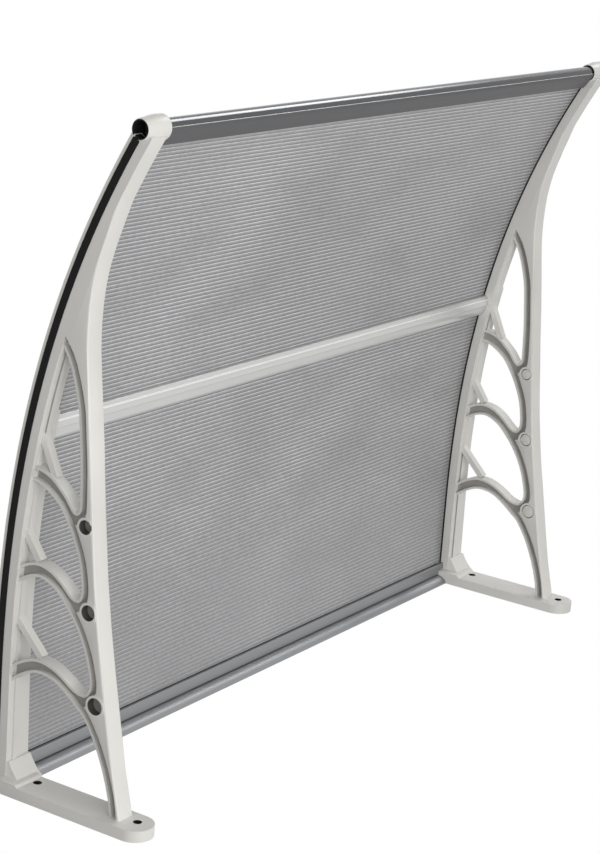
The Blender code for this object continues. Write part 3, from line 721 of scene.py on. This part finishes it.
def bracket_slots(mesh, middle, side):
    """Number of each face's finish: 0, BLACK in holes, FLOOR on the web and DEEP in open bosses; the last
    three are painted shade.

    A face is in a hole if its centre's distance from the hole's axis is no more than the hole's radius. The
    bosses are open on the bracket's outer side only, which is -X or +X as side says.
    """
    c, n = face_numbers(mesh, "center"), face_numbers(mesh, "normal")
    aside = c[:, 0] - middle
    slots = np.where((np.abs(n[:, 0]) > 0.9) & (np.abs(np.abs(aside) - WEB) < 4 * SLACK), FLOOR, 0)
    in_plate = (c[:, 1] > -PLATE + SLACK) & (c[:, 1] < -SLACK)
    for x, z in WALL_HOLES:
        slots[in_plate & (np.hypot(aside - x, c[:, 2] - z) < WALL_HOLE + SLACK)] = BLACK
    slots[off_axis(mesh, *tube_centre) < SOCKET_BORE + SLACK] = BLACK
    in_boss = (aside * side > WEB + 5 * SLACK) & (np.abs(n[:, 0]) < 0.3)
    for reach, height, radius in BOSS_PLACES:
        slots[in_boss & (off_axis(mesh, reach, height) < radius + SLACK)] = DEEP
    return slots


tube_slots = np.where(off_axis(tube.data, *tube_centre) < TUBE_BORE + 2 * SLACK, BLACK, 0)
left_slots = bracket_slots(left.data, -PITCH / 2, -1)
right_slots = bracket_slots(right.data, PITCH / 2, 1)
for name, slots in (("tube", tube_slots), ("left", left_slots), ("right", right_slots)):
    print(f"{name}: {(slots == BLACK).sum()} faces in holes, {(slots == FLOOR).sum()} channel floors")

# %% [markdown]
# Boss discs
#
# On its inner side each boss is closed by a flat disc, with a narrow groove round it. The groove could be
# cut into the bracket, but a disc that is a little smaller than its boss leaves the same gap. It is turned
# from (radius, depth) pairs that start and end on the axis, with a small round at the rim.

# %% Boss discs
BOSS_GROOVE = 0.0011
DISC_RIM = 0.0005
DISC_FACE = BODY - 0.0001
DISC_DEPTH = BODY - WEB - 0.0004
TINY = 0.00001


def disc(name, middle, side, reach, height, radius, rim=DISC_RIM, around=40):
    """Turned disc: each ring lies at its depth behind the face and at its radius from the boss's axis."""
    r = np.array((TINY, radius - rim, radius - 0.3 * rim, radius, radius, TINY))
    depth = np.array((0, 0, 0.3 * rim, rim, DISC_DEPTH, DISC_DEPTH))
    points = ring_rows(middle + side * (DISC_FACE - depth), r, reach, height, around)
    faces = grid_faces(len(r), around, wrap_columns=True).tolist()
    faces += [list(range(around)), list(range(len(r) * around - around, len(r) * around))]
    return add_piece(name, points, faces, 30)


discs = [disc(f"{name}_boss_disc_{i + 1}", middle, side, reach, height, radius - BOSS_GROOVE)
         for name, middle, side in (("left", -PITCH / 2, 1), ("right", PITCH / 2, -1))
         for i, (reach, height, radius) in enumerate(BOSS_PLACES)]

# %% [markdown]
# Handing the pieces over
#
# Each piece gets its finish and rides on the frame's one body, because nothing on a canopy moves. Pieces
# that show a CAD node in more detail take its place, and the slot says which finish of the record they have.

# %% Finishes and bodies
def dress(piece, *finishes):
    """Give a piece its finishes, the first one for all its faces, and let it ride on the body."""
    piece.data.materials.clear()
    for finish in finishes:
        piece.data.materials.append(finish)
    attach(piece, "root")
    print(piece.name, "has", ", ".join(finish.name for finish in finishes))


shown_for = (
    (sheet, "polycarbonate_sheet", "twin_wall_grey", (sheet_mat,)),
    (tube, "front_profile", "dark_anodised", (dark_metal, rubber_and_hole_shade)),
    (rear, "rear_profile", "dark_anodised", (rear_metal,)),
    (rear_end, "rear_profile", "dark_anodised", (rear_metal,)),
    (bar, "middle_bar", "light_aluminium", (bar_and_edge_highlight_metal, highlight_metal)),
    (left, "left_bracket", "bracket_plastic", (plastic, rubber_and_hole_shade, recess_shade, boss_shade)),
    (right, "right_bracket", "bracket_plastic", (plastic, rubber_and_hole_shade, recess_shade, boss_shade)),
    (lips, "front_profile", "dark_anodised", (dark_coat, bar_and_edge_highlight_metal)),
)
for piece, node_name, slot, finishes in shown_for:
    dress(piece, *finishes)
    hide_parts(node_name)
for piece in seals + [rear_strip]:
    dress(piece, rubber_and_hole_shade)
for piece in discs:
    dress(piece, plastic)

# %% [markdown]
# Faces with a finish of their own
#
# Some faces differ from the rest of their piece: the insides and floors picked out above, which get painted
# shade, the edge of the skin round the tube, bare light metal that also paints a highlight line, and the crest
# of the bar's first ridge, which gets a painted highlight. Thin extra pieces could cover them, but a second
# finish on the same mesh can't gape or flicker.

# %% Faces with their own finish
def finish_faces(piece, numbers):
    """Let each face show the finish with its number."""
    piece.data.polygons.foreach_set("material_index", numbers.astype(np.int32))
    print(f"{piece.name}: {(numbers > 0).sum()} faces with a finish of their own")


SKIN_EDGE = 0.0005
RIDGE_CREST = 0.0009
skin_edge = placed(arc(TUBE + SKIN / 2, SKIN_START, SKIN_START, 1))[0]
bar_faces = face_numbers(bar.data, "center") * (1, -1, 1)
place_on_bar = (bar_faces[:, 1:] - bar_middle) @ bar_back
finish_faces(tube, tube_slots)
finish_faces(left, left_slots)
finish_faces(right, right_slots)
# Bare light metal on the skin's edge, which also makes a painted highlight line.
finish_faces(lips, off_axis(lips.data, *skin_edge) < SKIN_EDGE)
# Painted highlight along the crest of the bar's first ridge.
finish_faces(bar, np.abs(place_on_bar - BAR_RIDGES[0]) < RIDGE_CREST)

# %% [markdown]
# Camera
#
# The photograph looks up at the underside from below and from the left, and it is turned so that the wall
# side is at the bottom of the picture. A camera set by eye would be a little wrong everywhere, so its place
# was worked out from the brackets' and profiles' edges.

# %% Camera
camera = bpy.data.cameras.new("camera")
camera.lens = 94.92
camera.sensor_width = 36
view = bpy.data.objects.new("camera", camera)
view.location = (-2.2393, -1.0703, -1.4894)
view.rotation_euler = Euler([radians(a) for a in (158.477, 55.722, -7.187)])
bpy.context.scene.collection.objects.link(view)
bpy.context.scene.camera = view
print(f"the camera stands {view.location.length:.2f} m from the rear profile's middle")

# %% [markdown]
# Floor
#
# The photograph shows nothing but white behind the canopy. Its camera looks up, so there the white is that
# of the surroundings, but views from above show a wide pale floor. A lit floor alone would be grey and
# uneven, and more lamps would bleach the canopy. So for the camera and for reflections the floor also shines
# with its own white, while for all other rays it stays a plain floor that takes the shadow.

# %% Floor
FLOOR_HALF = 12.0
FLOOR_LEVEL = -2.3
FLOOR_GLOW = 0.75
floor_mesh = bpy.data.meshes.new("floor")
floor_signs = ((-1, -1), (1, -1), (1, 1), (-1, 1))
floor_corners = [(FLOOR_HALF * x, FLOOR_HALF * y, FLOOR_LEVEL) for x, y in floor_signs]
floor_mesh.from_pydata(floor_corners, [], [(0, 1, 2, 3)])
floor = bpy.data.objects.new("floor", floor_mesh)
bpy.context.scene.collection.objects.link(floor)


def seen_directly(node):
    """1 for a ray from the camera, a reflection or a ray through glass, and 0 for any other."""
    path = node("ShaderNodeLightPath").outputs
    seen = maths(node, "MAXIMUM", path["Is Camera Ray"], path["Is Glossy Ray"])
    return maths(node, "MAXIMUM", seen, path["Is Transmission Ray"])


floor_mat, shader, node, link = new_material("pale_floor", (0.86, 0.86, 0.86), 0.9)
glow = node("ShaderNodeEmission").outputs[0]
share = maths(node, "MULTIPLY", seen_directly(node), FLOOR_GLOW)
blend = node("ShaderNodeMixShader", _0=share, _1=shader.outputs[0], _2=glow)
link(blend.outputs[0], floor_mat.node_tree.nodes["Material Output"].inputs["Surface"])
floor_mesh.materials.append(floor_mat)
print(f"the floor lies {-FLOOR_LEVEL} m below the canopy")

# %% [markdown]
# Lamps
#
# Soft light comes from wide lamps below, to the left and in front, because the photograph shows a lit
# underside. A single strong lamp would draw hard shadows between the ribs. The lamp called band stands far
# out to the right: its mirror image is the light band along the dark tube. The one above lights the side
# that faces the rain.

# %% Lamps
MIDDLE = (0, -0.35, -0.05)
BAND_HEIGHT = -0.50


def lamp(name, place, aim, width, height, power):
    """Area lamp at a place, turned to face a point."""
    light = bpy.data.lights.new(name, "AREA")
    light.shape = "RECTANGLE"
    light.size = width
    light.size_y = height
    light.energy = power
    obj = bpy.data.objects.new(name, light)
    obj.location = place
    obj.rotation_euler = (Vector(aim) - Vector(place)).to_track_quat("-Z", "Y").to_euler()
    obj.visible_camera = False
    bpy.context.scene.collection.objects.link(obj)
    print(f"lamp {name}: {power} W over {width} by {height} m")


lamp("below", (-0.8, -0.45, -2.0), MIDDLE, 1.3, 1.3, 22)
lamp("left", (-1.6, -0.9, -1.2), (-0.4, -0.4, -0.1), 1.0, 1.0, 9)
lamp("front", (-0.6, -3.0, -0.6), MIDDLE, 1.3, 1.3, 6)
lamp("band", (2.3, -2.5, BAND_HEIGHT), (2.3, 0, BAND_HEIGHT), 1.4, 1.05, 31)
lamp("above", (0.8, -1.5, 2.2), MIDDLE, 2.6, 2.6, 18)

# %% [markdown]
# World
#
# The surroundings fill the shadows with an even light. They are white where the camera or a reflection looks
# at them, and dimmer for the light that they give, so that the background is white and the canopy keeps its
# own tones. The view transform Standard shows colours as they are written.

# %% World
WORLD_LIGHT = 0.305
world = bpy.data.worlds.new("studio")
bpy.context.scene.world = world
world.use_nodes = True
node = node_maker(world.node_tree)
background = world.node_tree.nodes["Background"]
background.inputs["Color"].default_value = (1, 1, 1, 1)
strength = spread(node, seen_directly(node), WORLD_LIGHT, 1.0, 0.0, 1.0)
world.node_tree.links.new(strength, background.inputs["Strength"])
bpy.context.scene.view_settings.view_transform = "Standard"
print("the world shines at", WORLD_LIGHT, "and shows as white")
